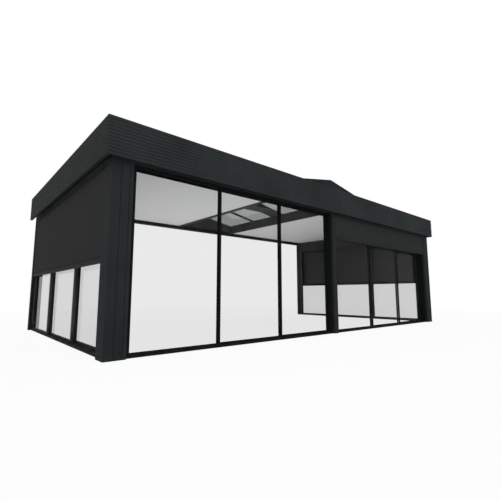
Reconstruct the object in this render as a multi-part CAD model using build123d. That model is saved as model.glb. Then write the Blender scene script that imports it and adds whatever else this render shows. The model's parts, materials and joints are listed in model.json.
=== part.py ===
from build123d import *
import math
import os

os.makedirs("parts", exist_ok=True)

# Frame: millimetres, X along the front, Y to the rear, Z up, origin on the ground
# at the middle of the roof outline.

# Overall sizes over the outer post faces
LENGTH = 8560.0
DEPTH = 4580.0

# Fascia around the roof edge
FASCIA_TOP = 2750.0
FASCIA_HEIGHT = 460.0
REAR_FASCIA_HEIGHT = 220.0
FASCIA_THICK = 40.0
OVERHANG = 100.0
REAR_OVERHANG = 40.0
GROOVE_WIDTH = 9.0
GROOVE_DEPTH = 6.0
RIB_PITCH = 42.7

# Posts
CORNER_POST_WIDTH = 258.0
CORNER_POST_DEPTH = 227.0
REAR_POST_WIDTH = 190.0
REAR_POST_DEPTH = 110.0
MID_POST_WIDTH = 100.0
MID_POST_DEPTH = 185.0
MID_POST_OFFSET = -34.0
POST_GROOVE_INSETS = (112.0, 212.0)
POST_GROOVE_WIDTH = 7.0
POST_GROOVE_DEPTH = 7.0

# Drain outlet low on the front left post
DRAIN_RADIUS = 15.0
DRAIN_BORE_RADIUS = 10.0
DRAIN_LENGTH = 10.0
DRAIN_INSET = 182.0
DRAIN_HEIGHT = 72.0

# Roof build-up, from the fascia top down
FASCIA_LIP = 30.0
DECK_THICK = 105.0
CEILING_THICK = 15.0
BEAM_WIDTH = 150.0
REAR_BEAM_WIDTH = 110.0
REAR_BEAM_HEIGHT = 85.0

# Gable roof lantern, ridge from front to rear
LANTERN_OPENING = 1730.0
KERB_THICK = 50.0
KERB_DROP = 25.0
KERB_RISE = 86.0
LANTERN_SLOPE = 10.27
LANTERN_SETBACK = 55.0
LANTERN_GLASS = 14.0
GLASS_OVERHANG = 20.0
GABLE_UPSTAND = 8.0
RIDGE_WIDTH = 60.0
RIDGE_DROP = 45.0
BAR_WIDTH = 36.0
BAR_DROP = 34.0
BAR_WEB = 10.0
STRIP_START = -30.0
STRIP_LENGTH = 410.0
BAR_SPACING = 740.0
COLLAR_WIDTH = 1040.0

# Glass panels on three rails, sliding in the front bays
SCREEN_LAYER = 45.0
RAIL_COUNT = 3
RAIL_PITCH = 44.0
PANEL_THICK = 32.0
STILE = 20.0
PANEL_RAIL = 16.0
PANEL_GLASS = 10.0
JAMB_WIDTH = 26.0
SILL_HEIGHT = 28.0
RIDGE_RAIL_WIDTH = 6.0
RIDGE_RAIL_HEIGHT = 8.0
HEAD_HEIGHT = 40.0
HEAD_PLATE = 18.0
FIN = 2.0
PANEL_CLEAR = 6.0
PANEL_SEAT_CLEAR = 0.3

# Glazed side walls behind the screens, on the same three rails
SIDE_STILE = 80.0

# Roller screens in guides on the outside
GUIDE_WIDTH = 14.0
GUIDE_DEPTH = 40.0
GUIDE_SLOT = 8.0
GUIDE_SLOT_DEPTH = 9.0
SCREEN_BOX_DEPTH = 40.0
FABRIC_THICK = 2.0
FABRIC_OFFSET = 8.0
BAR_HEIGHT = 45.0
BAR_DEPTH = 24.0
SCREEN_SIDE_CLEAR = 1.0
LEFT_SCREEN_BOTTOM = 1100.0
RIGHT_SCREEN_BOTTOM = 1045.0
FRONT_SCREEN_BOTTOM = 1800.0

# Places that follow from the sizes
HALF_L = LENGTH / 2
EDGE_X = HALF_L + OVERHANG
EDGE_Y = (DEPTH + OVERHANG + REAR_OVERHANG) / 2
FRONT_Y = OVERHANG - EDGE_Y
REAR_Y = EDGE_Y - REAR_OVERHANG
FASCIA_BOTTOM = FASCIA_TOP - FASCIA_HEIGHT
DECK_TOP = FASCIA_TOP - FASCIA_LIP
BEAM_TOP = DECK_TOP - DECK_THICK
CEILING_HEIGHT = BEAM_TOP - CEILING_THICK
REAR_BEAM_BOTTOM = BEAM_TOP - REAR_BEAM_HEIGHT
GLASS_SEAT = DECK_TOP + KERB_RISE
BEAM_IN_X = HALF_L - BEAM_WIDTH
BEAM_FRONT_Y = FRONT_Y + BEAM_WIDTH
BEAM_REAR_Y = REAR_Y - REAR_BEAM_WIDTH
REAR_POST_Y = REAR_Y - REAR_POST_DEPTH
CORNER_POST_Y = FRONT_Y + CORNER_POST_DEPTH
MID_POST_LEFT = MID_POST_OFFSET - MID_POST_WIDTH / 2
MID_POST_RIGHT = MID_POST_OFFSET + MID_POST_WIDTH / 2
HEAD_BOTTOM = FASCIA_BOTTOM - HEAD_HEIGHT
TRACK_DEPTH = RAIL_COUNT * RAIL_PITCH + FIN
TRACK_FRONT_Y = FRONT_Y + SCREEN_LAYER
TRACK_REAR_Y = TRACK_FRONT_Y + TRACK_DEPTH
KERB_IN = LANTERN_OPENING / 2
KERB_OUT = KERB_IN + KERB_THICK
GABLE_FRONT_Y = FRONT_Y + LANTERN_SETBACK
GABLE_REAR_Y = REAR_Y - LANTERN_SETBACK
SLOPE_RISE = math.tan(math.radians(LANTERN_SLOPE))


def save(node, shape):
    """Write one node as a STEP file."""
    export_step(shape, os.path.join("parts", node + ".step"))


def span(x0, x1, y0, y1, z0, z1):
    """A box between two corners."""
    size = (abs(x1 - x0), abs(y1 - y0), abs(z1 - z0))
    return Pos((x0 + x1) / 2, (y0 + y1) / 2, (z0 + z1) / 2) * Box(*size)


def plan_prism(points, z0, z1):
    """A prism over an outline drawn in plan."""
    return extrude(Plane.XY.offset(z0) * make_face(Polyline(*points, close=True)), z1 - z0)


def cross_prism(points, y0, y1):
    """A prism along Y over an outline of (x, z) points."""
    outline = [(x, 0, z) for x, z in points]
    face = Pos(0, y0, 0) * make_face(Polyline(*outline, close=True))
    return extrude(face, amount=y1 - y0, dir=(0, 1, 0))


def side_prism(points, x0, x1):
    """A prism along X over an outline of (y, z) points."""
    outline = [(0, y, z) for y, z in points]
    face = Pos(x0, 0, 0) * make_face(Polyline(*outline, close=True))
    return extrude(face, amount=x1 - x0, dir=(1, 0, 0))


# Posts


def corner_post(side):
    """A front corner post with its two upright grooves, side -1 left or 1 right."""
    outer = side * HALF_L
    inner = outer - side * CORNER_POST_WIDTH
    post = span(outer, inner, FRONT_Y, CORNER_POST_Y, 0, FASCIA_BOTTOM)
    for inset in POST_GROOVE_INSETS:
        x = outer - side * inset
        half = POST_GROOVE_WIDTH / 2
        post -= span(x - half, x + half, FRONT_Y, FRONT_Y + POST_GROOVE_DEPTH, 0, FASCIA_BOTTOM)
    return post


def rear_post(side):
    """A rear post that reaches up to the slim rear beam."""
    outer = side * HALF_L
    return span(outer, outer - side * REAR_POST_WIDTH, REAR_POST_Y, REAR_Y, 0, REAR_BEAM_BOTTOM)


save("front_left_post", corner_post(-1))
save("front_right_post", corner_post(1))
save("mid_post", span(MID_POST_LEFT, MID_POST_RIGHT, FRONT_Y, FRONT_Y + MID_POST_DEPTH, 0, FASCIA_BOTTOM))
save("rear_left_post", rear_post(-1))
save("rear_right_post", rear_post(1))

drain = Cylinder(DRAIN_RADIUS, DRAIN_LENGTH) - Cylinder(DRAIN_BORE_RADIUS, DRAIN_LENGTH)
drain_y = FRONT_Y - DRAIN_LENGTH / 2
save("drain_outlet", Pos(-HALF_L + DRAIN_INSET, drain_y, DRAIN_HEIGHT) * Rot(X=90) * drain)

# Ribbed fascia


def groove_drops(height):
    """Distances of the grooves below the fascia top, one between each two ribs."""
    count = int((height - GROOVE_WIDTH) // RIB_PITCH)
    return [RIB_PITCH * (k + 1) for k in range(count)]


def fascia_outline(height):
    """Points (outward, z) of the board's section, grooves on the outer face."""
    bottom = FASCIA_TOP - height
    points = [(-FASCIA_THICK, bottom), (-FASCIA_THICK, FASCIA_TOP), (0, FASCIA_TOP)]
    for drop in groove_drops(height):
        top = FASCIA_TOP - drop + GROOVE_WIDTH / 2
        low = top - GROOVE_WIDTH
        points += [(0, top), (-GROOVE_DEPTH, top), (-GROOVE_DEPTH, low), (0, low)]
    return points + [(0, bottom)]


def side_fascia(side):
    """A side fascia, mitred to the front one and square at the rear."""
    outline = [(side * (EDGE_X + out), z) for out, z in fascia_outline(FASCIA_HEIGHT)]
    board = cross_prism(outline, -EDGE_Y, EDGE_Y)
    inner = EDGE_X - FASCIA_THICK
    plan = [(EDGE_X, -EDGE_Y), (EDGE_X, EDGE_Y), (inner, EDGE_Y), (inner, -EDGE_Y + FASCIA_THICK)]
    plan = [(side * x, y) for x, y in plan]
    return board & plan_prism(plan, FASCIA_BOTTOM, FASCIA_TOP)


front_outline = [(-EDGE_Y - out, z) for out, z in fascia_outline(FASCIA_HEIGHT)]
front_board = side_prism(front_outline, -EDGE_X, EDGE_X)
mitre_x = EDGE_X - FASCIA_THICK
mitre_y = -EDGE_Y + FASCIA_THICK
front_plan = [(-EDGE_X, -EDGE_Y), (EDGE_X, -EDGE_Y), (mitre_x, mitre_y), (-mitre_x, mitre_y)]
save("front_fascia", front_board & plan_prism(front_plan, FASCIA_BOTTOM, FASCIA_TOP))
save("left_fascia", side_fascia(-1))
save("right_fascia", side_fascia(1))
rear_outline = [(EDGE_Y + out, z) for out, z in fascia_outline(REAR_FASCIA_HEIGHT)]
save("rear_fascia", side_prism(rear_outline, -mitre_x, mitre_x))

# Ring beam, roof decks and ceilings

save("front_beam", span(-HALF_L, HALF_L, FRONT_Y, BEAM_FRONT_Y, FASCIA_BOTTOM, BEAM_TOP))
save("rear_beam", span(-HALF_L, HALF_L, BEAM_REAR_Y, REAR_Y, REAR_BEAM_BOTTOM, BEAM_TOP))
for name, side in (("left", -1), ("right", 1)):
    beam_in = side * BEAM_IN_X
    kerb_out = side * KERB_OUT
    beam = span(side * HALF_L, beam_in, BEAM_FRONT_Y, REAR_POST_Y, FASCIA_BOTTOM, BEAM_TOP)
    save(name + "_beam", beam)
    save(name + "_roof_deck", span(side * mitre_x, kerb_out, mitre_y, -mitre_y, BEAM_TOP, DECK_TOP))
    ceiling = span(beam_in, kerb_out, BEAM_FRONT_Y, BEAM_REAR_Y, CEILING_HEIGHT, BEAM_TOP)
    save(name + "_ceiling", ceiling)

strips = [
    span(-KERB_OUT, KERB_OUT, mitre_y, GABLE_FRONT_Y, BEAM_TOP, DECK_TOP),
    span(-KERB_OUT, KERB_OUT, GABLE_REAR_Y, -mitre_y, BEAM_TOP, DECK_TOP),
]
save("roof_end_strips", Compound(children=strips))

# Roof lantern


def seat(x):
    """Height of the underside of the sloping glass at a distance from the ridge line."""
    return GLASS_SEAT + SLOPE_RISE * (KERB_IN - x)


def slope_prism(side, x0, x1, low, high, y0, y1):
    """A sloping slab between two heights measured from the underside of the glass."""
    points = [(x0, seat(x0) + low), (x1, seat(x1) + low), (x1, seat(x1) + high), (x0, seat(x0) + high)]
    return cross_prism([(side * x, z) for x, z in points], y0, y1)


RIDGE_HALF = RIDGE_WIDTH / 2
BAR_TOP = LANTERN_GLASS + GABLE_UPSTAND
EAVE_X = KERB_OUT + GLASS_OVERHANG
STRIP_END = STRIP_START + STRIP_LENGTH

kerbs = []
for side in (-1, 1):
    section = [
        (KERB_IN, CEILING_HEIGHT - KERB_DROP),
        (KERB_OUT, CEILING_HEIGHT - KERB_DROP),
        (KERB_OUT, seat(KERB_OUT)),
        (KERB_IN, seat(KERB_IN)),
    ]
    kerbs.append(cross_prism([(side * x, z) for x, z in section], BEAM_FRONT_Y, BEAM_REAR_Y))
save("lantern_kerbs", Compound(children=kerbs))

gable_eave = seat(KERB_OUT) + BAR_TOP
gable_points = [
    (-KERB_OUT, BEAM_TOP),
    (KERB_OUT, BEAM_TOP),
    (KERB_OUT, gable_eave),
    (0, seat(0) + BAR_TOP),
    (-KERB_OUT, gable_eave),
]
save("lantern_front_gable", cross_prism(gable_points, GABLE_FRONT_Y, BEAM_FRONT_Y))
save("lantern_rear_gable", cross_prism(gable_points, BEAM_REAR_Y, GABLE_REAR_Y))

ridge_low = seat(RIDGE_HALF) - RIDGE_DROP
ridge_side = seat(RIDGE_HALF) + BAR_TOP
ridge_points = [
    (-RIDGE_HALF, ridge_low),
    (RIDGE_HALF, ridge_low),
    (RIDGE_HALF, ridge_side),
    (0, seat(0) + BAR_TOP),
    (-RIDGE_HALF, ridge_side),
]
save("lantern_ridge", cross_prism(ridge_points, BEAM_FRONT_Y, BEAM_REAR_Y))

# The closed strip splits the glass, and one bar stands off it on each side
bar_places = (STRIP_START - BAR_SPACING, STRIP_END + BAR_SPACING)
bars = []
for side in (-1, 1):
    for y in bar_places:
        half_bar = BAR_WIDTH / 2
        flange = slope_prism(side, RIDGE_HALF, KERB_IN, -BAR_DROP, 0, y - half_bar, y + half_bar)
        web = slope_prism(side, RIDGE_HALF, EAVE_X, 0, BAR_TOP, y - BAR_WEB / 2, y + BAR_WEB / 2)
        bars.append(flange + web)
save("lantern_bars", Compound(children=bars))

strip_panels = [slope_prism(s, RIDGE_HALF, EAVE_X, 0, BAR_TOP, STRIP_START, STRIP_END) for s in (-1, 1)]
save("lantern_strip_panels", Compound(children=strip_panels))

collar_half = COLLAR_WIDTH / 2
collar_top = KERB_IN - (ridge_low - GLASS_SEAT) / SLOPE_RISE
collar_points = [
    (-collar_half, seat(collar_half)),
    (collar_half, seat(collar_half)),
    (collar_top, ridge_low),
    (-collar_top, ridge_low),
]
save("lantern_collar", cross_prism(collar_points, STRIP_START, STRIP_END))

half_web = BAR_WEB / 2
pane_ends = [
    (BEAM_FRONT_Y, bar_places[0] - half_web),
    (bar_places[0] + half_web, STRIP_START),
    (STRIP_END, bar_places[1] - half_web),
    (bar_places[1] + half_web, BEAM_REAR_Y),
]
for name, side in (("left", -1), ("right", 1)):
    panes = [slope_prism(side, RIDGE_HALF, EAVE_X, 0, LANTERN_GLASS, y0, y1) for y0, y1 in pane_ends]
    save("lantern_" + name + "_glass", Compound(children=panes))

# Pieces of a bay with glass panels on three rails, drawn along the front

PANEL_BOTTOM = SILL_HEIGHT + RIDGE_RAIL_HEIGHT + PANEL_SEAT_CLEAR
PANEL_TOP = FASCIA_BOTTOM - HEAD_PLATE - PANEL_CLEAR
PANE_BOTTOM = PANEL_BOTTOM + PANEL_RAIL
PANE_TOP = PANEL_TOP - PANEL_RAIL


def rail_y(k):
    """Middle of a rail, counted from the outside."""
    return TRACK_FRONT_Y + FIN / 2 + RAIL_PITCH * (k + 1 / 2)


def sill(x0, x1):
    """A low sill with one running ridge for each panel."""
    track = span(x0, x1, TRACK_FRONT_Y, TRACK_REAR_Y, 0, SILL_HEIGHT)
    half = RIDGE_RAIL_WIDTH / 2
    top = SILL_HEIGHT + RIDGE_RAIL_HEIGHT
    for k in range(RAIL_COUNT):
        track += span(x0, x1, rail_y(k) - half, rail_y(k) + half, SILL_HEIGHT, top)
    return track


def head(x0, x1):
    """A head track with a downward fin on both sides of each panel."""
    plate = FASCIA_BOTTOM - HEAD_PLATE
    track = span(x0, x1, TRACK_FRONT_Y, TRACK_REAR_Y, plate, FASCIA_BOTTOM)
    for k in range(RAIL_COUNT + 1):
        y = TRACK_FRONT_Y + RAIL_PITCH * k
        track += span(x0, x1, y, y + FIN, HEAD_BOTTOM, plate)
    return track


def jamb_pair(x0, x1):
    """The two jambs of a bay, between its sill and its head track."""
    sill_top = SILL_HEIGHT + RIDGE_RAIL_HEIGHT
    ends = ((x0, x0 + JAMB_WIDTH), (x1 - JAMB_WIDTH, x1))
    return [span(a, b, TRACK_FRONT_Y, TRACK_REAR_Y, sill_top, HEAD_BOTTOM) for a, b in ends]


def panel_ends(x0, x1, stile):
    """Start and end of each panel of a bay, neighbours lapped by one stile."""
    clear_left = x0 + JAMB_WIDTH + PANEL_CLEAR
    clear_right = x1 - JAMB_WIDTH - PANEL_CLEAR
    width = (clear_right - clear_left + (RAIL_COUNT - 1) * stile) / RAIL_COUNT
    starts = [clear_left + k * (width - stile) for k in range(RAIL_COUNT)]
    return [(start, start + width) for start in starts]


def panel_frame(x0, x1, y, stile):
    """The slim frame of one glass panel."""
    half = PANEL_THICK / 2
    frame = span(x0, x1, y - half, y + half, PANEL_BOTTOM, PANEL_TOP)
    return frame - span(x0 + stile, x1 - stile, y - half, y + half, PANE_BOTTOM, PANE_TOP)


def panel_glass(x0, x1, y, stile):
    """The pane that fills a panel's frame."""
    half = PANEL_GLASS / 2
    return span(x0 + stile, x1 - stile, y - half, y + half, PANE_BOTTOM, PANE_TOP)


# Sliding doors in the two front bays

BAYS = {
    "left": (-HALF_L + CORNER_POST_WIDTH, MID_POST_LEFT),
    "right": (MID_POST_RIGHT, HALF_L - CORNER_POST_WIDTH),
}
jambs = []
for name, (bay_left, bay_right) in BAYS.items():
    save("front_" + name + "_sill", sill(bay_left, bay_right))
    save("front_" + name + "_head_track", head(bay_left, bay_right))
    jambs += jamb_pair(bay_left, bay_right)
    for k, (x0, x1) in enumerate(panel_ends(bay_left, bay_right, STILE)):
        door = "front_" + name + "_door_" + str(k + 1)
        save(door + "_frame", panel_frame(x0, x1, rail_y(k), STILE))
        save(door + "_glass", panel_glass(x0, x1, rail_y(k), STILE))
save("door_jambs", Compound(children=jambs))

# Glazed side walls, drawn as a front bay and turned to their side

SIDE_HALF = (REAR_POST_Y - CORNER_POST_Y) / 2
SIDE_MID_Y = (REAR_POST_Y + CORNER_POST_Y) / 2
for name, side in (("left", -1), ("right", 1)):
    turn = Pos(side * (HALF_L + FRONT_Y), SIDE_MID_Y, 0) * Rot(Z=side * 90)
    surround = sill(-SIDE_HALF, SIDE_HALF)
    for jamb in jamb_pair(-SIDE_HALF, SIDE_HALF):
        surround += jamb
    surround += head(-SIDE_HALF, SIDE_HALF)
    frames, panes = [surround], []
    for k, (x0, x1) in enumerate(panel_ends(-SIDE_HALF, SIDE_HALF, SIDE_STILE)):
        frames.append(panel_frame(x0, x1, rail_y(k), SIDE_STILE))
        panes.append(panel_glass(x0, x1, rail_y(k), SIDE_STILE))
    save(name + "_wall_frame", Compound(children=[turn * piece for piece in frames]))
    save(name + "_wall_glass", Compound(children=[turn * pane for pane in panes]))

# Roller screens: box under the beam, guides beside the posts, fabric and bottom bar


def wall_span(wall, a0, a1, off0, off1, z0, z1):
    """A box placed along a wall and at an offset inward from its outer face."""
    if wall == "front":
        return span(a0, a1, FRONT_Y + off0, FRONT_Y + off1, z0, z1)
    side = -1 if wall == "left" else 1
    return span(side * (HALF_L - off0), side * (HALF_L - off1), a0, a1, z0, z1)


SCREENS = {
    "front": (BAYS["right"][0], BAYS["right"][1], FRONT_SCREEN_BOTTOM),
    "left": (CORNER_POST_Y, REAR_POST_Y, LEFT_SCREEN_BOTTOM),
    "right": (CORNER_POST_Y, REAR_POST_Y, RIGHT_SCREEN_BOTTOM),
}
half_slot = GUIDE_SLOT / 2
half_fabric = FABRIC_THICK / 2
boxes, guides, bottom_bars = [], [], []
for wall, (start, end, low) in SCREENS.items():
    boxes.append(wall_span(wall, start, end, 0, SCREEN_BOX_DEPTH, HEAD_BOTTOM, FASCIA_BOTTOM))
    slot = (FABRIC_OFFSET - half_slot, FABRIC_OFFSET + half_slot, 0, HEAD_BOTTOM)
    first = wall_span(wall, start, start + GUIDE_WIDTH, 0, GUIDE_DEPTH, 0, HEAD_BOTTOM)
    first -= wall_span(wall, start + GUIDE_WIDTH - GUIDE_SLOT_DEPTH, start + GUIDE_WIDTH, *slot)
    last = wall_span(wall, end - GUIDE_WIDTH, end, 0, GUIDE_DEPTH, 0, HEAD_BOTTOM)
    last -= wall_span(wall, end - GUIDE_WIDTH, end - GUIDE_WIDTH + GUIDE_SLOT_DEPTH, *slot)
    guides += [first, last]
    reach = GUIDE_WIDTH - GUIDE_SLOT_DEPTH
    cloth = (FABRIC_OFFSET - half_fabric, FABRIC_OFFSET + half_fabric, low + BAR_HEIGHT, HEAD_BOTTOM)
    save(wall + "_screen", wall_span(wall, start + reach, end - reach, *cloth))
    clear = GUIDE_WIDTH + SCREEN_SIDE_CLEAR
    bar = (0, BAR_DEPTH, low, low + BAR_HEIGHT)
    bottom_bars.append(wall_span(wall, start + clear, end - clear, *bar))
save("screen_boxes", Compound(children=boxes))
save("screen_guides", Compound(children=guides))
save("screen_bottom_bars", Compound(children=bottom_bars))
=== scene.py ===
import json
import logging
import math
from dataclasses import dataclass, field
from enum import Enum
from typing import Sequence

import bpy
import numpy as np
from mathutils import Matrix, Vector


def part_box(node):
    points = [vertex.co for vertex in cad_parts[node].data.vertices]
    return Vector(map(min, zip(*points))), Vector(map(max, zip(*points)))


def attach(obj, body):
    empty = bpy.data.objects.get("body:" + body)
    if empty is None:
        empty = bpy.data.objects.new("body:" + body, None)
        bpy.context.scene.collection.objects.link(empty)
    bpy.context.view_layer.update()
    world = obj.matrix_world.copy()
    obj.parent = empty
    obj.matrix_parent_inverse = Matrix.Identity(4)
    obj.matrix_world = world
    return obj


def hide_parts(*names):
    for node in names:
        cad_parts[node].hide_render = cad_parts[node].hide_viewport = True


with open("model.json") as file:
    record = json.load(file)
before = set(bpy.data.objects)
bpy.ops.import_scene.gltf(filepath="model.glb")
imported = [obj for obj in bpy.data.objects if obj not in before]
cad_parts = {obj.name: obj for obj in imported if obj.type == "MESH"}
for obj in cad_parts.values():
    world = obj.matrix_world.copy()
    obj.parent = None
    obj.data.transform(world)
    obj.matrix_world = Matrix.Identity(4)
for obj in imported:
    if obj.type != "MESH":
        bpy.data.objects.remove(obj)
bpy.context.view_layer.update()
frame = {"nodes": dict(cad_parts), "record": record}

ROOT = "structure"
LOG = logging.getLogger("veranda")
Array = np.ndarray
Colour = tuple[float, float, float]
Point = tuple[float, float, float]
WHITE = (1.0, 1.0, 1.0, 1.0)
CORNER_SIGNS = np.array([[-1, -1], [1, -1], [1, 1], [-1, 1]], float)
NOISE_BAND = (0.3, 0.7)


class Axis(Enum):
    """A row axis, by its index in a point."""

    X = 0
    Y = 1
    Z = 2


class Wall(Enum):
    """A wall of the veranda that carries glass or a screen."""

    FRONT = "front"
    LEFT = "left"
    RIGHT = "right"


# Mesh building


def mesh_from_grid(name: str, points: Array, uv: Array | None = None,
                   smooth: bool = False) -> bpy.types.Object:
    """Makes a mesh object from a grid of points P(u, v), one quad for each cell.

    Cell (i, j) joins P(i, j), P(i+1, j), P(i+1, j+1) and P(i, j+1).

    Args:
        name: the object's name.
        points: array of shape (nu, nv, 3), in metres.
        uv: array of shape (nu, nv, 2), or None for no UV map.
        smooth: whether the faces are shaded smooth.

    Returns:
        The new object, linked to the scene, at the origin.
    """
    nu, nv = points.shape[:2]
    ids = np.arange(nu * nv).reshape(nu, nv)
    quads = np.stack([ids[:-1, :-1], ids[1:, :-1], ids[1:, 1:], ids[:-1, 1:]], axis=-1)
    return mesh_from_arrays(name, points.reshape(-1, 3), quads.reshape(-1, 4), uv, smooth)


def mesh_from_arrays(name: str, verts: Array, quads: Array, uv: Array | None = None,
                     smooth: bool = False) -> bpy.types.Object:
    """Puts whole arrays of vertices and quads into a new mesh object.

    Args:
        name: the object's name.
        verts: array of shape (n, 3), in metres.
        quads: array of shape (m, 4) of vertex numbers.
        uv: one UV for each vertex, or None.
        smooth: whether the faces are shaded smooth.

    Returns:
        The new object, linked to the scene, at the origin.
    """
    mesh = bpy.data.meshes.new(name)
    count = len(quads)
    mesh.vertices.add(len(verts))
    mesh.vertices.foreach_set("co", np.ascontiguousarray(verts, np.float32).ravel())
    mesh.loops.add(4 * count)
    mesh.loops.foreach_set("vertex_index", np.ascontiguousarray(quads, np.int32).ravel())
    mesh.polygons.add(count)
    mesh.polygons.foreach_set("loop_start", np.arange(0, 4 * count, 4, dtype=np.int32))
    mesh.polygons.foreach_set("use_smooth", np.full(count, smooth))
    mesh.update(calc_edges=True)
    if uv is not None:
        layer = mesh.uv_layers.new(name="cloth")
        layer.data.foreach_set("uv", uv.reshape(-1, 2)[quads.ravel()].astype(np.float32).ravel())
    mesh.validate()
    obj = bpy.data.objects.new(name, mesh)
    bpy.context.scene.collection.objects.link(obj)
    return obj


def loop_sweep(corners: Array, inward: Array, normal: Array, profile: Array) -> Array:
    """Carries a profile round a four-cornered loop with mitred corners.

    Point (i, j) is corner i plus the profile's first number along that corner's
    inward diagonal, plus its second number along the loop's normal.

    Args:
        corners: array (4, 3) of the loop's corners.
        inward: array (4, 3), the diagonal towards the middle, one unit along each side.
        normal: array (3,), the loop's normal.
        profile: array (k, 2) of (inward, outward) offsets, a closed outline.

    Returns:
        Array (4, k, 3) of points, closed both ways.
    """
    along = corners[:, None, :] + profile[None, :, 0, None] * inward[:, None, :]
    return along + profile[None, :, 1, None] * normal[None, None, :]


def loop_quads(count: int) -> Array:
    """The quads of a profile that is carried round a four-cornered loop, closed both ways.

    Args:
        count: how many points the profile has.

    Returns:
        Array (4 * count, 4) of vertex numbers, in the order of loop_sweep's points.
    """
    near = np.arange(4 * count).reshape(4, count)
    far = np.roll(near, -1, 0)
    return np.stack([near, far, np.roll(far, -1, 1), np.roll(near, -1, 1)], -1).reshape(-1, 4)


def capped_bar(name: str, start: Array, end: Array) -> bpy.types.Object:
    """Makes a closed bar between two like profiles, with both ends filled.

    Side quad i joins points i and i+1 of both profiles, and end quad i joins points i and
    i+1 to their mirror points k-2-i and k-1-i.

    Args:
        name: the object's name.
        start: array (k, 3), the profile at the start, k even.
        end: array (k, 3), the same profile at the end.

    Returns:
        The new object.
    """
    count = len(start)
    ring = np.arange(count)
    after = np.roll(ring, -1)
    sides = np.stack([ring, after, after + count, ring + count], axis=1)
    i = np.arange(count // 2 - 1)
    cap = np.stack([i, i + 1, count - 2 - i, count - 1 - i], axis=1)
    return mesh_from_arrays(name, np.vstack([start, end]), np.vstack([sides, cap[:, ::-1], cap + count]))


def corners_of(node: str) -> Array:
    """The corners of a CAD node's mesh as an array (k, 3)."""
    mesh = frame["nodes"][node].data
    co = np.empty(3 * len(mesh.vertices), np.float32)
    mesh.vertices.foreach_get("co", co)
    return co.reshape(-1, 3)


def steps(node: str, axis: Axis) -> Array:
    """The separate places along an axis where a CAD node has corners, in rising order.

    Args:
        node: the CAD node's name.
        axis: which row axis to read.

    Returns:
        Array of places in metres.
    """
    return np.unique(corners_of(node)[:, axis.value].round(4))


def piece_box(node: str, axis: Axis, place: float, reach: float = 0.06) -> tuple[Array, Array]:
    """The box of the piece of a CAD node that lies about one place on an axis.

    Args:
        node: the CAD node.
        axis: the axis.
        place: the place on it.
        reach: how far the piece's corners may lie from it.

    Returns:
        The piece's lowest and highest corner.
    """
    verts = corners_of(node)
    near = verts[np.abs(verts[:, axis.value] - place) < reach]
    return near.min(axis=0), near.max(axis=0)


def put_on(obj: bpy.types.Object, material: bpy.types.Material) -> None:
    """Gives an object one material in all its slots."""
    if not obj.material_slots:
        obj.data.materials.append(material)
    for spot in obj.material_slots:
        spot.material = material


def dress_piece(obj: bpy.types.Object, material: bpy.types.Material) -> None:
    """Gives a made piece its material and logs its name.

    Args:
        obj: the piece.
        material: its material.
    """
    put_on(obj, material)
    LOG.info("made %s", obj.name)


# Shader node groups


def new_group(name: str, inputs: dict[str, float], outputs: Sequence[str]) -> bpy.types.NodeTree:
    """Starts a shader node group with number sockets.

    Args:
        name: the group's name.
        inputs: each input's name and default.
        outputs: the outputs' names.

    Returns:
        The empty group with its Group Input and Group Output nodes.
    """
    tree = bpy.data.node_groups.new(name, "ShaderNodeTree")
    for label, value in inputs.items():
        socket = tree.interface.new_socket(label, in_out="INPUT", socket_type="NodeSocketFloat")
        socket.default_value = value
    for label in outputs:
        tree.interface.new_socket(label, in_out="OUTPUT", socket_type="NodeSocketFloat")
    tree.nodes.new("NodeGroupInput")
    tree.nodes.new("NodeGroupOutput")
    return tree


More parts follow.
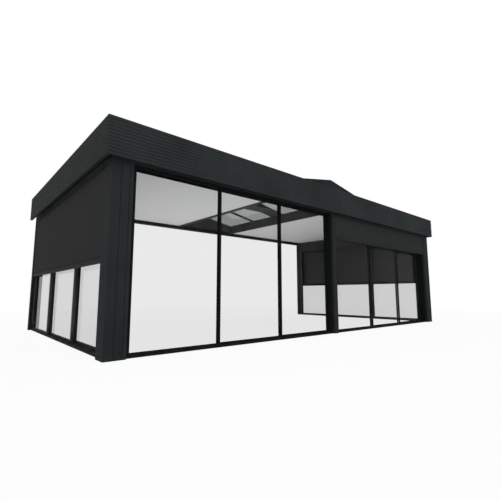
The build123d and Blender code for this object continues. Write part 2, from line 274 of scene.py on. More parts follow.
class Wiring:
    """Short ways to place and join nodes in one node tree."""

    def __init__(self, tree: bpy.types.NodeTree) -> None:
        """Keeps the tree that the nodes go into."""
        self.tree = tree

    def node(self, kind: str, **settings: object) -> bpy.types.Node:
        """Adds a node and sets its properties.

        Args:
            kind: the node's type name.
            settings: properties by name.

        Returns:
            The new node.
        """
        node = self.tree.nodes.new(kind)
        for key, value in settings.items():
            setattr(node, key, value)
        return node

    def join(self, source: object, target: bpy.types.NodeSocket) -> None:
        """Links a socket to a target, or sets a plain value on the target."""
        if isinstance(source, bpy.types.NodeSocket):
            self.tree.links.new(source, target)
        else:
            target.default_value = source

    def math(self, operation: str, *values: object, clamp: bool = False) -> bpy.types.NodeSocket:
        """Adds a Math node.

        Args:
            operation: the Math node's operation.
            values: sockets or numbers for its inputs.
            clamp: whether the result is held between 0 and 1.

        Returns:
            The node's output socket.
        """
        node = self.node("ShaderNodeMath", operation=operation, use_clamp=clamp)
        for value, socket in zip(values, node.inputs):
            self.join(value, socket)
        return node.outputs[0]

    def ramp(self, value: object, low: float, high: float, to_low: float = 0.0,
             to_high: float = 1.0) -> bpy.types.NodeSocket:
        """Maps a value from one range to another, held at both ends.

        Args:
            value: a socket or number.
            low: the value that gives to_low.
            high: the value that gives to_high.
            to_low: the result at low.
            to_high: the result at high.

        Returns:
            The mapped value's socket.
        """
        node = self.node("ShaderNodeMapRange", clamp=True)
        for number, socket in zip((value, low, high, to_low, to_high), node.inputs):
            self.join(number, socket)
        return node.outputs[0]

    def noise(self, vector: object, scale: object, detail: float, rough: float = 0.5) -> bpy.types.NodeSocket:
        """Adds a noise texture.

        Args:
            vector: the coordinates' socket.
            scale: how many features in a metre.
            detail: octaves.
            rough: how strong the finer octaves are.

        Returns:
            The noise value's socket.
        """
        node = self.node("ShaderNodeTexNoise")
        self.join(vector, node.inputs["Vector"])
        self.join(scale, node.inputs["Scale"])
        self.join(detail, node.inputs["Detail"])
        self.join(rough, node.inputs["Roughness"])
        return node.outputs["Fac"]

    def mix(self, factor: object, first: object, second: object) -> bpy.types.NodeSocket:
        """Mixes two colours.

        Args:
            factor: 0 gives the first and 1 the second.
            first: a colour or colour socket.
            second: a colour or colour socket.

        Returns:
            The mixed colour's socket.
        """
        node = self.node("ShaderNodeMix", data_type="RGBA")
        self.join(factor, node.inputs["Factor"])
        for value, label in ((first, "A"), (second, "B")):
            sockets = [s for s in node.inputs if s.name == label and s.type == "RGBA"]
            self.join(value if isinstance(value, bpy.types.NodeSocket) else (*value, 1.0), sockets[0])
        return [s for s in node.outputs if s.type == "RGBA"][0]

    def blend(self, factor: object, first: object, second: object) -> bpy.types.NodeSocket:
        """Mixes two shaders.

        Args:
            factor: 0 gives the first and 1 the second.
            first: a shader's socket.
            second: a shader's socket.

        Returns:
            The mixed shader's socket.
        """
        node = self.node("ShaderNodeMixShader")
        for value, socket in zip((factor, first, second), node.inputs):
            self.join(value, socket)
        return node.outputs[0]

    def place(self, group: bpy.types.NodeTree, **values: object) -> bpy.types.Node:
        """Places a node group with its own input values.

        Args:
            group: the shader node group.
            values: input values or sockets, by the input's name in lower case.

        Returns:
            The group node.
        """
        node = self.node("ShaderNodeGroup", node_tree=group)
        for socket in node.inputs:
            key = socket.name.lower().replace(" ", "_")
            if key in values:
                self.join(values[key], socket)
        return node


def object_coordinates(wires: Wiring) -> bpy.types.NodeSocket:
    """The Object coordinates' socket."""
    return wires.node("ShaderNodeTexCoord").outputs["Object"]


def surface_input(material: bpy.types.Material) -> bpy.types.NodeSocket:
    """The Surface input of a material's output node."""
    return material.node_tree.nodes["Material Output"].inputs["Surface"]


def group_ends(tree: bpy.types.NodeTree) -> tuple[bpy.types.Node, bpy.types.Node]:
    """The group's input node and output node."""
    return tree.nodes["Group Input"], tree.nodes["Group Output"]


class Effects:
    """The shader node groups that several finishes share, each built once.

    WEAR_TURN is the range of the two normals' dot product that turns into wear. WEAR_PATCH
    and DUST_CLOUD are ranges of noise that turn into patches. A normal's Z within DUST_LEVEL
    gives the film (dust, and painted shade in the side frames' coat) up to DUST_ON_TOP. UNDER_THREAD is the
    height of the thread that lies below.
    """

    WEAR_TURN = (0.98, 0.75)
    WEAR_PATCH = (0.4, 0.62)
    DUST_LEVEL = (0.7, 1.0)
    DUST_ON_TOP = 0.6
    DUST_CLOUD = (0.35, 0.7)
    DUST_SCALE = 9.0
    UNDER_THREAD = 0.55

    def __init__(self) -> None:
        """Builds every group."""
        self.grain = self.build_grain()
        self.wear = self.build_wear()
        self.dust = self.build_dust_and_shade()
        self.weave = self.build_weave()

    @staticmethod
    def build_grain() -> bpy.types.NodeTree:
        """Fine grain: two noises of different size, as a height and a slow tone.

        Returns:
            Group with inputs Scale and Spread and outputs Height and Tone.
        """
        tree = new_group("fine_grain", {"Scale": 600.0, "Spread": 1.4}, ("Height", "Tone"))
        wires = Wiring(tree)
        start, end = group_ends(tree)
        place = object_coordinates(wires)
        wires.join(wires.noise(place, start.outputs["Scale"], 2.0), end.inputs["Height"])
        wires.join(wires.noise(place, start.outputs["Spread"], 5.0, 0.6), end.inputs["Tone"])
        return tree

    @staticmethod
    def build_wear() -> bpy.types.NodeTree:
        """Edge wear: how far a rounded normal leaves the true one, broken up by noise.

        Returns:
            Group with inputs Radius and Patch and output Mask.
        """
        tree = new_group("edge_wear", {"Radius": 0.004, "Patch": 30.0}, ("Mask",))
        wires = Wiring(tree)
        start, end = group_ends(tree)
        bevel = wires.node("ShaderNodeBevel", samples=4)
        wires.join(start.outputs["Radius"], bevel.inputs["Radius"])
        flat = wires.node("ShaderNodeNewGeometry").outputs["True Normal"]
        dot = wires.node("ShaderNodeVectorMath", operation="DOT_PRODUCT")
        wires.join(bevel.outputs[0], dot.inputs[0])
        wires.join(flat, dot.inputs[1])
        turned = wires.ramp(dot.outputs["Value"], *Effects.WEAR_TURN)
        spots = wires.noise(object_coordinates(wires), start.outputs["Patch"], 4.0)
        patch = wires.ramp(spots, *Effects.WEAR_PATCH)
        wires.join(wires.math("MULTIPLY", turned, patch), end.inputs["Mask"])
        return tree

    @staticmethod
    def build_dust_and_shade() -> bpy.types.NodeTree:
        """A film on faces that look up, and as splash close to the ground: dust in most finishes, and painted
        shade in the side frames' coat, where its tone is darker than the coat.

        Returns:
            Group with inputs Ground (metres) and Amount and output Mask.
        """
        tree = new_group("dust_film", {"Ground": 0.25, "Amount": 1.0}, ("Mask",))
        wires = Wiring(tree)
        start, end = group_ends(tree)
        place = object_coordinates(wires)
        height = wires.node("ShaderNodeSeparateXYZ")
        wires.join(place, height.inputs[0])
        low = wires.math("DIVIDE", height.outputs["Z"], start.outputs["Ground"])
        splash = wires.ramp(low, 0.0, 1.0, 1.0, 0.0)
        facing = wires.node("ShaderNodeSeparateXYZ")
        wires.join(wires.node("ShaderNodeNewGeometry").outputs["True Normal"], facing.inputs[0])
        up = wires.ramp(facing.outputs["Z"], *Effects.DUST_LEVEL, 0.0, Effects.DUST_ON_TOP)
        cloud = wires.ramp(wires.noise(place, Effects.DUST_SCALE, 6.0, 0.65), *Effects.DUST_CLOUD)
        whole = wires.math("MULTIPLY", wires.math("MAXIMUM", splash, up), cloud)
        wires.join(wires.math("MULTIPLY", whole, start.outputs["Amount"], clamp=True), end.inputs["Mask"])
        return tree

    @staticmethod
    def build_weave() -> bpy.types.NodeTree:
        """Plain weave from the cloth's own UV in metres: crossed threads that take turns on top.

        The height is the larger of |sin(pi u / p)| and |sin(pi v / p)|, each weighted
        by a checker of period 2 p, where p is the thread pitch.

        Returns:
            Group with input Pitch (metres) and outputs Height and Thread.
        """
        tree = new_group("plain_weave", {"Pitch": 0.0025}, ("Height", "Thread"))
        wires = Wiring(tree)
        start, end = group_ends(tree)
        split = wires.node("ShaderNodeSeparateXYZ")
        wires.join(wires.node("ShaderNodeUVMap", uv_map="cloth").outputs["UV"], split.inputs[0])
        waves, cells = [], []
        for label in ("X", "Y"):
            ratio = wires.math("DIVIDE", split.outputs[label], start.outputs["Pitch"])
            cells.append(wires.math("FLOOR", ratio))
            turn = wires.math("MULTIPLY", ratio, math.pi)
            waves.append(wires.math("ABSOLUTE", wires.math("SINE", turn)))
        total = wires.math("ADD", cells[0], cells[1])
        over = wires.math("FLOORED_MODULO", total, 2.0)
        under = Effects.UNDER_THREAD
        first = wires.math("MULTIPLY", waves[0], wires.ramp(over, 0.0, 1.0, under, 1.0))
        second = wires.math("MULTIPLY", waves[1], wires.ramp(over, 0.0, 1.0, 1.0, under))
        wires.join(wires.math("MAXIMUM", first, second), end.inputs["Height"])
        wires.join(over, end.inputs["Thread"])
        return tree


# Finishes


def start_material(name: str) -> tuple[bpy.types.Material, Wiring, bpy.types.Node]:
    """Starts a node material with one Principled shader.

    Args:
        name: the material's name.

    Returns:
        The material, its wiring and its Principled node.
    """
    material = bpy.data.materials.new(name)
    material.use_nodes = True
    wires = Wiring(material.node_tree)
    return material, wires, material.node_tree.nodes["Principled BSDF"]


def add_bump(wires: Wiring, shader: bpy.types.Node, height: object, depth: float, strength: float) -> None:
    """Feeds a height through a Bump node into a shader's Normal.

    Args:
        wires: the material's wiring.
        shader: the Principled node.
        height: the height's socket.
        depth: the height's distance in metres.
        strength: the Bump node's strength.
    """
    bump = wires.node("ShaderNodeBump")
    bump.inputs["Strength"].default_value = strength
    bump.inputs["Distance"].default_value = depth
    wires.join(height, bump.inputs["Height"])
    wires.join(bump.outputs["Normal"], shader.inputs["Normal"])


@dataclass(frozen=True)
class CoatedMetal:
    """Powder coated aluminium: fine grain, worn edges and a film of dust or soil, which in the side frames'
    coat is darker than the coat and is painted shade near the ground and on faces that look up.

    The tone runs from dark to pale times the base colour, and the roughness by swing to both
    sides. The grain, its slow spread and the wear's patches are in features for each metre,
    and the edge's width, the splash's height and the relief in metres.
    """

    name: str
    base: Colour
    bare: Colour
    film_tone: Colour
    roughness: float
    specular: float
    dust: float = 0.35
    wear: float = 0.5
    grain: float = 700.0
    spread: float = 1.1
    edge: float = 0.004
    patch: float = 24.0
    splash: float = 0.22
    pale: float = 1.22
    dark: float = 0.82
    swing: float = 0.06
    dust_matt: float = 0.25
    relief: float = 0.0004
    tooth: float = 0.12

    def material(self, effects: Effects) -> bpy.types.Material:
        """Builds the material.

        Args:
            effects: the shared node groups.

        Returns:
            The node material.
        """
        material, wires, shader = start_material(self.name)
        grain = wires.place(effects.grain, scale=self.grain, spread=self.spread)
        wear = wires.place(effects.wear, radius=self.edge, patch=self.patch)
        dust = wires.place(effects.dust, ground=self.splash, amount=self.dust)
        dark, pale = (tuple(c * share for c in self.base) for share in (self.dark, self.pale))
        tone = wires.mix(wires.ramp(grain.outputs["Tone"], *NOISE_BAND), dark, pale)
        worn = wires.mix(wires.math("MULTIPLY", wear.outputs["Mask"], self.wear), tone, self.bare)
        # The film's tone is dust in most coats; in the side frames' coat it is darker than the coat and is
        # painted shade.
        colour = wires.mix(dust.outputs["Mask"], worn, self.film_tone)
        wires.join(colour, shader.inputs["Base Color"])
        low, high = self.roughness - self.swing, self.roughness + self.swing
        matt = wires.ramp(grain.outputs["Tone"], *NOISE_BAND, low, high)
        film = wires.math("MULTIPLY", dust.outputs["Mask"], self.dust_matt)
        wires.join(wires.math("ADD", matt, film, clamp=True), shader.inputs["Roughness"])
        shader.inputs["Specular IOR Level"].default_value = self.specular
        add_bump(wires, shader, grain.outputs["Height"], self.relief, self.tooth)
        return material


@dataclass(frozen=True)
class ScreenCloth:
    """Dark woven screen cloth, painted paler on the side that faces the middle of the building: painted light
    on that side.
    """

    name: str
    warp: Colour
    weft: Colour
    pitch: float
    # How many times paler the side towards the middle is painted: painted light.
    inside: float
    specular: float = 0.02
    matt: tuple[float, float] = (0.82, 0.95)
    blotch: float = 0.25
    deep: float = 0.6
    soft: float = 0.1
    grain: float = 90.0
    spread: float = 2.2
    relief: float = 0.0006
    tooth: float = 0.3

    def facing_out(self, wires: Wiring) -> bpy.types.NodeSocket:
        """A mask of 1 where the surface faces away from the origin and 0 where it faces it."""
        place = wires.node("ShaderNodeTexCoord")
        dot = wires.node("ShaderNodeVectorMath", operation="DOT_PRODUCT")
        wires.join(place.outputs["Object"], dot.inputs[0])
        wires.join(place.outputs["Normal"], dot.inputs[1])
        return wires.ramp(dot.outputs["Value"], -self.soft, self.soft)

    def material(self, effects: Effects) -> bpy.types.Material:
        """Builds the material.

        Args:
            effects: the shared node groups.

        Returns:
            The node material.
        """
        material, wires, shader = start_material(self.name)
        weave = wires.place(effects.weave, pitch=self.pitch)
        grain = wires.place(effects.grain, scale=self.grain, spread=self.spread)
        away = self.facing_out(wires)
        # The side towards the middle takes the thread colours times inside: painted light.
        warp, weft = (wires.mix(away, tuple(c * self.inside for c in colour), colour)
                      for colour in (self.warp, self.weft))
        thread = wires.mix(weave.outputs["Thread"], warp, weft)
        shade = wires.ramp(grain.outputs["Tone"], *NOISE_BAND, 0.0, self.blotch)
        deep = tuple(c * self.deep for c in self.warp)
        wires.join(wires.mix(shade, thread, deep), shader.inputs["Base Color"])
        wires.join(wires.ramp(grain.outputs["Height"], *NOISE_BAND, *self.matt), shader.inputs["Roughness"])
        shader.inputs["Specular IOR Level"].default_value = self.specular
        add_bump(wires, shader, weave.outputs["Height"], self.relief, self.tooth)
        return material


@dataclass(frozen=True)
class PaneGlass:
    """Flat glass with a faint film in its gloss, deeper in tint at a slant.

    Shadow rays and diffuse rays pass it unbent, so that what stands behind it is lit. A
    ray crosses two faces, so each face takes the square root of the tint.
    """

    name: str
    tint: Colour
    film: float
    ior: float
    slant: float = 1.0
    film_band: tuple[float, float] = (0.45, 0.8)
    grain: float = 40.0
    spread: float = 0.9

    def material(self, effects: Effects) -> bpy.types.Material:
        """Builds the material.

        Args:
            effects: the shared node groups.

        Returns:
            The node material.
        """
        material, wires, shader = start_material(self.name)
        grain = wires.place(effects.grain, scale=self.grain, spread=self.spread)
        shader.inputs["Base Color"].default_value = (*self.tint, 1.0)
        if self.slant < 1.0:
            angle = wires.node("ShaderNodeLayerWeight")
            deep = tuple(c * self.slant for c in self.tint)
            wires.join(wires.mix(angle.outputs["Facing"], self.tint, deep), shader.inputs["Base Color"])
        film = wires.ramp(grain.outputs["Tone"], *self.film_band, 0.0, self.film)
        wires.join(film, shader.inputs["Roughness"])
        shader.inputs["IOR"].default_value = self.ior
        shader.inputs["Transmission Weight"].default_value = 1.0
        clear = wires.node("ShaderNodeBsdfTransparent")
        clear.inputs["Color"].default_value = (*(math.sqrt(c) for c in self.tint), 1.0)
        path = wires.node("ShaderNodeLightPath")
        surface = shader.outputs[0]
        for ray in ("Is Diffuse Ray", "Is Shadow Ray"):
            surface = wires.blend(path.outputs[ray], surface, clear.outputs[0])
        wires.join(surface, surface_input(material))
        return material


@dataclass(frozen=True)
class FlatPaint:
    """Matt paint or membrane with a soft mottle and fine tooth."""

    name: str
    base: Colour
    mottle: float
    roughness: float
    specular: float
    film_tone: Colour
    dust: float = 0.0
    grain: float = 260.0
    relief: float = 0.0003
    spread: float = 1.6
    splash: float = 0.02
    swing: float = 0.05
    tooth_band: tuple[float, float] = (0.2, 0.8)
    tooth: float = 0.15

    def material(self, effects: Effects) -> bpy.types.Material:
        """Builds the material.

        Args:
            effects: the shared node groups.

        Returns:
            The node material.
        """
        material, wires, shader = start_material(self.name)
        grain = wires.place(effects.grain, scale=self.grain, spread=self.spread)
        dust = wires.place(effects.dust, ground=self.splash, amount=self.dust)
        dark = tuple(c * (1.0 - self.mottle) for c in self.base)
        tone = wires.mix(wires.ramp(grain.outputs["Tone"], *NOISE_BAND), dark, self.base)
        wires.join(wires.mix(dust.outputs["Mask"], tone, self.film_tone), shader.inputs["Base Color"])
        low, high = self.roughness - self.swing, self.roughness + self.swing
        span = wires.ramp(grain.outputs["Height"], *self.tooth_band, low, high)
        wires.join(span, shader.inputs["Roughness"])
        shader.inputs["Specular IOR Level"].default_value = self.specular
        add_bump(wires, shader, grain.outputs["Height"], self.relief, self.tooth)
        return material


Finish = CoatedMetal | ScreenCloth | PaneGlass | FlatPaint

COATING = CoatedMetal(
    "dark_powder_coat", base=(0.0222, 0.0256, 0.0272), bare=(0.05, 0.05, 0.05),
    film_tone=(0.05, 0.048, 0.044), roughness=0.62, specular=0.01)
# Fascia: a paler copy of the dark coat, painted light for the light that the fascia catches.
FASCIA_PAINTED_LIGHT = CoatedMetal(
    "fascia_coat", base=(0.0292, 0.0333, 0.0338), bare=(0.055, 0.055, 0.055),
    film_tone=(0.055, 0.053, 0.05), roughness=0.62, specular=0.01)
# Door panels, sills, head tracks and jambs: a darker copy of the dark coat, partly the frames' own darker
# tone and partly painted shade of these recessed frames.
PROFILE_DARK_AND_SHADE = CoatedMetal(
    "dark_frame_coat", base=(0.0088, 0.0094, 0.0100), bare=(0.035, 0.035, 0.035),
    film_tone=(0.04, 0.038, 0.035), roughness=0.55, specular=0.02)
# Lantern kerbs, ridge, bars, panels, collar and rear gable: a paler copy of the dark coat, painted light for
# these parts seen under the lantern glass.
LANTERN_PAINTED_LIGHT = CoatedMetal(
    "lantern_coat", base=(0.068, 0.069, 0.069), bare=(0.09, 0.09, 0.09),
    film_tone=(0.09, 0.088, 0.084), roughness=0.6, specular=0.02)
# Side wall frames and side beams: a paler copy of the dark coat, which is painted light, and a film darker
# than the coat, laid at 1.4 times near the ground and on faces that look up, which is painted shade.
SIDE_FRAME_PAINTED_LIGHT_AND_SHADE = CoatedMetal(
    "side_frame_coat", base=(0.043, 0.044, 0.045), bare=(0.07, 0.07, 0.07),
    film_tone=(0.012, 0.0117, 0.0112), roughness=0.6, specular=0.02, dust=1.4)
# The cloth's side towards the middle is painted 2.6 times paler: painted light.
CLOTH = ScreenCloth(
    "screen_cloth", warp=(0.0322, 0.0332, 0.0327), weft=(0.0268, 0.0277, 0.0272),
    pitch=0.004, inside=2.6)
DOOR_GLASS = PaneGlass("clear_pane", tint=(0.81, 0.815, 0.81), film=0.02, ior=1.06)
SIDE_GLASS = PaneGlass("side_pane", tint=(0.76, 0.762, 0.76), film=0.02, ior=1.08, slant=0.77)
LANTERN_GLASS = PaneGlass("grey_lantern_pane", tint=(0.34, 0.35, 0.35), film=0.05, ior=1.15)
CEILING = FlatPaint(
    "white_ceiling", base=(0.86, 0.86, 0.86), mottle=0.03, roughness=0.75, specular=0.2,
    film_tone=(0.8, 0.79, 0.77))
MEMBRANE = FlatPaint(
    "roof_membrane", base=(0.045, 0.047, 0.05), mottle=0.25, roughness=0.8, specular=0.25,
    film_tone=(0.16, 0.15, 0.135), dust=0.5, grain=120.0, relief=0.0008)
SEAL = FlatPaint(
    "rubber_seal", base=(0.008, 0.008, 0.008), mottle=0.3, roughness=0.7, specular=0.15,
    film_tone=(0.03, 0.03, 0.03), dust=0.2, grain=900.0)
DRAIN = FlatPaint(
    "drain_plastic", base=(0.012, 0.012, 0.013), mottle=0.2, roughness=0.5, specular=0.3,
    film_tone=(0.07, 0.066, 0.06), dust=0.6, grain=500.0)


class Palette:
    """The built materials, one for each finish."""

    def __init__(self, effects: Effects) -> None:
        """Keeps the shared groups and starts with nothing built."""
        self.effects = effects
        self.built: dict[str, bpy.types.Material] = {}

    def get(self, finish: Finish) -> bpy.types.Material:
        """The material of a finish, built at its first use.

        Args:
            finish: the finish.

        Returns:
            Its material.
        """
        if finish.name not in self.built:
            self.built[finish.name] = finish.material(self.effects)
        return self.built[finish.name]


# Sub-assemblies


@dataclass
class CadFinish:
    """The finish that each CAD node takes, from its name or its slot in the record."""

    by_slot: dict[str, Finish] = field(default_factory=lambda: {
        "dark_coating": COATING,
        "roof_membrane": MEMBRANE,
        "ceiling_white": CEILING,
        "clear_glass": DOOR_GLASS,
        "lantern_glass": LANTERN_GLASS,
        "screen_fabric": CLOTH,
        "drain_plastic": DRAIN,
    })
    # The lantern parts that take the paler copy of the coat: painted light.
    inner: tuple[str, ...] = ("lantern_kerbs", "lantern_ridge", "lantern_bars", "lantern_strip_panels",
                              "lantern_collar", "lantern_rear_gable")
    side: tuple[str, ...] = ("left_wall_frame", "right_wall_frame", "left_beam", "right_beam")
    slim: tuple[str, ...] = ("_door_", "_sill", "_head_track", "door_jambs")

    def finish_of(self, node: str, slot: str) -> Finish:
        """The finish of one node: its own where it differs from its slot's.

        Args:
            node: the CAD node's name.
            slot: its material slot.

        Returns:
            The finish.
        """
        if node.endswith("_wall_glass"):
            return SIDE_GLASS
        # Side frames and side beams take the paler coat with its dark film: painted light, and painted shade
        # near the ground.
        if node in self.side:
            return SIDE_FRAME_PAINTED_LIGHT_AND_SHADE
        # The fascia takes a paler copy of the coat: painted light.
        if node.endswith("_fascia"):
            return FASCIA_PAINTED_LIGHT
        # Slim profiles take a darker copy of the coat: partly painted shade.
        if slot == "dark_coating" and any(word in node for word in self.slim):
            return PROFILE_DARK_AND_SHADE
        # Lantern parts take a paler copy of the coat: painted light.
        if node in self.inner:
            return LANTERN_PAINTED_LIGHT
        return self.by_slot[slot]

    def dress(self, palette: Palette) -> None:
        """Puts a finish on every CAD node."""
        for row in frame["record"]["subparts"]:
            node = frame["nodes"][row["node"]]
            put_on(node, palette.get(self.finish_of(row["node"], row["material_slot"])))
            LOG.info("dressed %s", row["node"])


@dataclass
class Seals:
    """Rubber seals round the panes, a small lip on both faces of each pane."""

    width: float = 0.006
    side_width: float = 0.013
    height: float = 0.004
    round_points: int = 4
    made: list[bpy.types.Object] = field(default_factory=list)

    def profile(self, half_glass: float, width: float) -> Array:
        """A lip's section: a quarter-round strip that stands on the glass.

        Args:
            half_glass: half the pane's thickness.
            width: how far the strip reaches over the glass.

        Returns:
            Array (k, 2) of (inward, outward) points.
        """
        turn = np.linspace(0.0, math.pi / 2, self.round_points)
        curve = np.stack([width * np.cos(turn), half_glass + self.height * np.sin(turn)], axis=1)
        return np.vstack([curve, [[0.0, half_glass]]])

    def build_pane(self, name: str, middle: Array, side_a: Array, side_b: Array, half_glass: float,
                   body: str, width: float) -> None:
        """Makes the two seals of one pane.

        Args:
            name: the piece's name.
            middle: the pane's middle point.
            side_a: from the middle to one edge.
            side_b: from the middle to a neighbouring edge.
            half_glass: half the pane's thickness.
            body: the CAD body that it rides on.
            width: how far the seals reach over the glass.
        """
        along_a, along_b = CORNER_SIGNS[:, :1], CORNER_SIGNS[:, 1:]
        corners = middle + along_a * side_a + along_b * side_b
        unit_a, unit_b = (v / np.linalg.norm(v) for v in (side_a, side_b))
        inward = -(along_a * unit_a + along_b * unit_b)
        normal = np.cross(unit_a, unit_b)
        section = self.profile(half_glass, width)
        grids = [loop_sweep(corners, inward, way * normal, section) for way in (1, -1)]
        quads = loop_quads(len(section))
        both = np.vstack([quads[:, ::-1], quads + 4 * len(section)])
        verts = np.vstack([g.reshape(-1, 3) for g in grids])
        obj = mesh_from_arrays(name, verts, both)
        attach(obj, body)
        self.made.append(obj)

    def build_doors(self) -> None:
        """Makes the seals of every sliding panel, each on its own panel."""
        for node in sorted(n for n in frame["nodes"] if "_door_" in n and n.endswith("_glass")):
            low, high = (np.array(c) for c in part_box(node))
            half = (high - low) / 2
            body = node.removesuffix("_glass")
            self.build_pane(body + "_seals", (low + high) / 2, np.array([half[0], 0, 0]),
                            np.array([0, 0, half[2]]), half[1], body, self.width)

    def build_sides(self) -> None:
        """Makes the seals of the fixed panels in the two side walls.

        From front to rear the panes' places along Y rise and those along X fall, on both sides.
        """
        for wall in (Wall.LEFT, Wall.RIGHT):
            node = wall.value + "_wall_glass"
            low, high = (np.array(c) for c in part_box(node))
            lengths = steps(node, Axis.Y).reshape(-1, 2)
            faces = steps(node, Axis.X).reshape(-1, 2)[::-1]
            upright = np.array([0, 0, (high[2] - low[2]) / 2])
            for number, ((start, end), (left, right)) in enumerate(zip(lengths, faces), 1):
                middle = np.array([(left + right) / 2, (start + end) / 2, (low[2] + high[2]) / 2])
                level = np.array([0, (end - start) / 2, 0])
                self.build_pane(f"{wall.value}_wall_seals_{number}", middle, level, upright,
                                (right - left) / 2, ROOT, self.side_width)

    def build_lantern(self) -> None:
        """Makes the seals of the sloping panes of the roof lantern."""
        for side in (Wall.LEFT, Wall.RIGHT):
            node = f"lantern_{side.value}_glass"
            x, z = steps(node, Axis.X), steps(node, Axis.Z)
            eave, ridge = x if side is Wall.LEFT else x[::-1]
            slope = np.array([(ridge - eave) / 2, 0, (z[2] - z[0]) / 2])
            half_glass = (z[1] - z[0]) / 2 * abs(slope[0]) / np.linalg.norm(slope)
            for number, (start, end) in enumerate(steps(node, Axis.Y).reshape(-1, 2), 1):
                middle = np.array([x.mean(), (start + end) / 2, z.mean()])
                self.build_pane(f"lantern_{side.value}_seals_{number}", middle, slope,
                                np.array([0, (end - start) / 2, 0]), half_glass, ROOT, self.width)

    def build(self) -> None:
        """Makes all seals."""
        self.build_doors()
        self.build_sides()
        self.build_lantern()

    def dress(self, palette: Palette) -> None:
        """Puts the rubber finish on the seals."""
        for obj in self.made:
            dress_piece(obj, palette.get(SEAL))


@dataclass
class RoofMembrane:
    """The membrane's coves at the roof edge and round the lantern, and the laps of its sheets."""

    cove: float = 0.026
    sheet: float = 1.14
    lap: float = 0.07
    lift: float = 0.003
    sunk: float = 0.002
    cove_points: int = 6
    lap_points: int = 8
    made: list[bpy.types.Object] = field(default_factory=list)

    def build_cove(self, name: str, low: Array, high: Array, top: float, inside: bool) -> None:
        """Makes a hollow quarter round along a rectangle on the deck.

        Its section is (r - r sin t, r - r cos t) for t from 0 to pi/2, closed at the corner.

        Args:
            name: the piece's name.
            low: the rectangle's lowest x and y.
            high: its highest x and y.
            top: the deck's height.
            inside: whether the cove lies inside the rectangle.
        """
        outline = (low + high) / 2 + CORNER_SIGNS * (high - low) / 2
        corners = np.column_stack([outline, np.full(4, top)])
        inward = np.column_stack([-CORNER_SIGNS if inside else CORNER_SIGNS, np.zeros(4)])
        turn = np.linspace(0.0, math.pi / 2, self.cove_points)
        curve = self.cove - self.cove * np.stack([np.sin(turn), np.cos(turn)], axis=1)
        section = np.vstack([curve, [[0.0, 0.0]]])
        points = loop_sweep(corners, inward, np.array([0.0, 0.0, 1.0]), section)
        quads = loop_quads(len(section))
        if inside:
            quads = quads[:, ::-1]
        self.made.append(mesh_from_arrays(name, points.reshape(-1, 3), quads))

    def build_laps(self, deck: str) -> None:
        """Makes the raised laps between the sheets of one roof deck, from front to rear.

        A lap stands lift (1 - s^4) above the deck for s from -1 to 1 across it.

        Args:
            deck: the roof deck's node.
        """
        low, high = (np.array(c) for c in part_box(deck))
        across = np.linspace(-1.0, 1.0, self.lap_points)
        crown = high[2] + self.lift * (1 - across ** 4)
        upper = np.stack([across * self.lap / 2, np.zeros_like(across), crown], axis=1)
        under = upper[::-1].copy()
        under[:, 2] = high[2] - self.sunk
        section = np.vstack([upper, under])
        count = int((high[0] - low[0]) // self.sheet)
        start = low[0] if low[0] > 0 else high[0]
        for number in range(1, count + 1):
            x = start + math.copysign(number * self.sheet, start)
            ends = [section + np.array([x, y, 0.0]) for y in (low[1], high[1])]
            self.made.append(capped_bar(f"{deck}_lap_{number}", *ends))

    def build(self) -> None:
        """Makes the coves and laps."""
        left, right = (np.array(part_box(node)) for node in ("left_roof_deck", "right_roof_deck"))
        top = left[1][2]
        self.build_cove("roof_edge_cove", left[0][:2], right[1][:2], top, True)
        front, rear = (np.array(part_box(node)) for node in ("lantern_front_gable", "lantern_rear_gable"))
        self.build_cove("lantern_cove", front[0][:2], rear[1][:2], top, False)
        for deck in ("left_roof_deck", "right_roof_deck"):
            self.build_laps(deck)

    def dress(self, palette: Palette) -> None:
        """Puts the membrane's finish on the pieces."""
        for obj in self.made:
            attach(obj, ROOT)
            dress_piece(obj, palette.get(MEMBRANE))


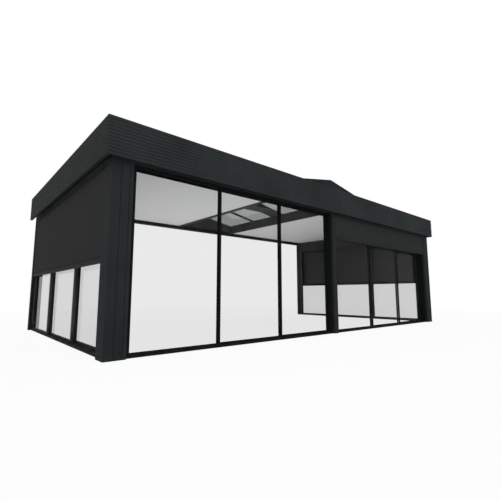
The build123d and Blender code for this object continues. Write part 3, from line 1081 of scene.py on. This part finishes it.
@dataclass
class RollerScreens:
    """The three screen cloths, each a tensioned sheet, and the black rubber lips under their bars, partly
    real seals and partly painted shade under the bars.
    """

    across: int = 120
    down: int = 40
    belly: float = 0.0025
    ripple: float = 0.0006
    half_waves: int = 14
    lean: float = 3.0
    thick: float = 0.0009
    lip: float = 0.018
    lip_share: float = 0.9
    lip_points: int = 8
    made: list[bpy.types.Object] = field(default_factory=list)
    lips: list[bpy.types.Object] = field(default_factory=list)

    def surface(self, low: Array, high: Array, run: Axis, out: Axis) -> tuple[Array, Array]:
        """The cloth's surface over s along the wall and t up it, both from 0 to 1.

        The sheet stands off its flat plane by belly sin(pi s) sin(pi t) plus small ripples
        ripple sin(half_waves pi s + lean t) sin(pi s) (1 - t)^2 that fade upwards.

        Args:
            low: the flat cloth's lowest corner.
            high: its highest corner.
            run: the axis along the wall.
            out: the axis through the wall.

        Returns:
            Points (across, down, 3) and UV in metres (across, down, 2).
        """
        s, t = np.meshgrid(np.linspace(0, 1, self.across), np.linspace(0, 1, self.down), indexing="ij")
        points = np.empty((*s.shape, 3))
        points[..., run.value] = low[run.value] + s * (high[run.value] - low[run.value])
        points[..., Axis.Z.value] = low[2] + t * (high[2] - low[2])
        middle = (low[out.value] + high[out.value]) / 2
        bulge = self.belly * np.sin(np.pi * s) * np.sin(np.pi * t)
        swell = np.sin(self.half_waves * np.pi * s + self.lean * t)
        wave = self.ripple * swell * np.sin(np.pi * s) * (1 - t) ** 2
        points[..., out.value] = middle + bulge + wave
        uv = np.stack([s * (high[run.value] - low[run.value]), t * (high[2] - low[2])], axis=-1)
        return points, uv

    def build_lip(self, wall: Wall, run: Axis, out: Axis, place: float) -> None:
        """Makes the black rubber lip under one bottom bar, partly a real seal and partly painted shade: it
        gives the dark line under the bar.

        Its section is the half ellipse (a cos t, h sin t) for t from pi to 2 pi.

        Args:
            wall: the wall that the screen hangs on.
            run: the axis along the wall.
            out: the axis through the wall.
            place: the cloth's place on that axis.
        """
        low, high = piece_box("screen_bottom_bars", out, place)
        turn = np.linspace(math.pi, 2 * math.pi, self.lip_points)
        half = self.lip_share * (high - low)[out.value] / 2 * (1 if wall is Wall.FRONT else -1)
        section = np.zeros((self.lip_points, 3))
        section[:, out.value] = (low + high)[out.value] / 2 + half * np.cos(turn)
        section[:, 2] = low[2] + self.lip * np.sin(turn)
        start, end = section.copy(), section.copy()
        start[:, run.value], end[:, run.value] = low[run.value], high[run.value]
        self.lips.append(capped_bar(wall.value + "_screen_lip", start, end))

    def build(self) -> None:
        """Makes the cloths in place of the flat CAD sheets, and the lips under their bars."""
        for wall in Wall:
            node = wall.value + "_screen"
            low, high = (np.array(c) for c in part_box(node))
            front = wall is Wall.FRONT
            run, out = (Axis.X, Axis.Y) if front else (Axis.Y, Axis.X)
            points, uv = self.surface(low, high, run, out)
            obj = mesh_from_grid(wall.value + "_screen_cloth", points, uv=uv, smooth=True)
            thick = obj.modifiers.new("thickness", "SOLIDIFY")
            thick.thickness = self.thick
            thick.offset = 0.0
            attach(obj, ROOT)
            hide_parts(node)
            self.made.append(obj)
            self.build_lip(wall, run, out, (low + high)[out.value] / 2)

    def dress(self, palette: Palette) -> None:
        """Puts the woven finish on the cloths and rubber on the lips."""
        for obj in self.made:
            dress_piece(obj, palette.get(CLOTH))
        for obj in self.lips:
            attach(obj, ROOT)
            dress_piece(obj, palette.get(SEAL))


# Studio


@dataclass(frozen=True)
class Lamp:
    """One soft lamp with straight sides.

    It stands at place and faces aim. Its sides are in metres and its power in watts.
    """

    name: str
    place: Point
    aim: Point
    sides: tuple[float, float]
    watts: float
    tint: Colour

    def build(self) -> None:
        """Adds the lamp, out of sight of the camera, of gloss and of glass."""
        data = bpy.data.lights.new(self.name, "AREA")
        data.shape = "RECTANGLE"
        data.size, data.size_y = self.sides
        data.energy = self.watts
        data.color = self.tint
        lamp = bpy.data.objects.new(self.name, data)
        lamp.location = self.place
        way = Vector(self.aim) - Vector(self.place)
        lamp.rotation_euler = way.to_track_quat("-Z", "Y").to_euler()
        lamp.visible_camera = False
        lamp.visible_glossy = False
        lamp.visible_transmission = False
        bpy.context.scene.collection.objects.link(lamp)


@dataclass
class Studio:
    """The floor, the light and the camera."""

    lamps: tuple[Lamp, ...] = (
        Lamp("front_lamp", (-2.0, -14.0, 9.0), (0.0, 0.0, 1.2), (9.0, 9.0), 330.0, (0.85, 1.0, 1.08)),
        Lamp("left_lamp", (-14.0, -2.0, 8.0), (0.0, 0.0, 1.2), (9.0, 9.0), 90.0, (1.2, 1.0, 0.88)),
        Lamp("bounce_lamp", (-1.2, 0.1, 0.02), (-1.2, 0.1, 2.6), (5.4, 3.8), 34.2, (1.0, 1.0, 1.0)),
    )
    eye: Point = (-5.594, -6.180, 0.727)
    yaw_deg: float = 41.01
    pitch_deg: float = 7.267
    lens: float = 24.918
    sensor: float = 36.0
    sight: float = 400.0
    floor_half: float = 150.0
    floor_level: float = -0.0005
    floor_tone: Colour = (0.9, 0.9, 0.9)
    sky: float = 0.8
    floor_glow: float = 0.92
    glow_reach: tuple[float, float] = (9.0, 16.0)

    def build_camera(self) -> None:
        """Makes the camera at the photograph's place and angle."""
        data = bpy.data.cameras.new("camera")
        data.lens = self.lens
        data.sensor_width = self.sensor
        data.clip_end = self.sight
        camera = bpy.data.objects.new("camera", data)
        bpy.context.scene.collection.objects.link(camera)
        yaw, pitch = math.radians(self.yaw_deg), math.radians(self.pitch_deg)
        level = math.cos(pitch)
        aim = Vector((math.sin(yaw) * level, math.cos(yaw) * level, math.sin(pitch)))
        camera.location = self.eye
        camera.rotation_euler = aim.to_track_quat("-Z", "Y").to_euler()
        bpy.context.scene.camera = camera

    def seen(self, wires: Wiring) -> bpy.types.NodeSocket:
        """A mask of 1 for rays that show the background: camera, glossy and transmission rays."""
        path = wires.node("ShaderNodeLightPath")
        first = wires.math("MAXIMUM", path.outputs["Is Camera Ray"], path.outputs["Is Glossy Ray"])
        return wires.math("MAXIMUM", first, path.outputs["Is Transmission Ray"])

    def build_floor(self) -> None:
        """Makes the pale floor, which glows white to the camera and keeps a soft shadow."""
        h, z = self.floor_half, self.floor_level
        grid = np.array([[[-h, -h, z], [-h, h, z]], [[h, -h, z], [h, h, z]]], float)
        floor = mesh_from_grid("studio_floor", grid)
        material, wires, shader = start_material("studio_floor")
        shader.inputs["Base Color"].default_value = (*self.floor_tone, 1.0)
        shader.inputs["Roughness"].default_value = 1.0
        shader.inputs["Specular IOR Level"].default_value = 0.0
        glow = wires.node("ShaderNodeEmission")
        glow.inputs["Color"].default_value = WHITE
        away = wires.node("ShaderNodeVectorMath", operation="LENGTH")
        wires.join(object_coordinates(wires), away.inputs[0])
        level = wires.ramp(away.outputs["Value"], *self.glow_reach, self.floor_glow, 1.0)
        share = wires.math("MULTIPLY", self.seen(wires), level)
        wires.join(wires.blend(share, shader.outputs[0], glow.outputs[0]), surface_input(material))
        put_on(floor, material)

    def build_sky(self) -> None:
        """Makes the even sky, white behind the object."""
        world = bpy.data.worlds.new("studio")
        bpy.context.scene.world = world
        world.use_nodes = True
        wires = Wiring(world.node_tree)
        back = world.node_tree.nodes["Background"]
        back.inputs["Color"].default_value = WHITE
        level = wires.ramp(self.seen(wires), 0.0, 1.0, self.sky, 1.0)
        wires.join(level, back.inputs["Strength"])

    def build(self) -> None:
        """Makes the whole studio."""
        bpy.context.scene.view_settings.view_transform = "Standard"
        self.build_camera()
        self.build_floor()
        self.build_sky()
        for lamp in self.lamps:
            lamp.build()


def main() -> None:
    """Builds and dresses every sub-assembly in order, then the studio."""
    logging.basicConfig(level=logging.INFO, format="%(name)s: %(message)s")
    palette = Palette(Effects())
    CadFinish().dress(palette)
    for assembly in (Seals(), RoofMembrane(), RollerScreens()):
        assembly.build()
        assembly.dress(palette)
    Studio().build()


if __name__ == "__main__":
    main()
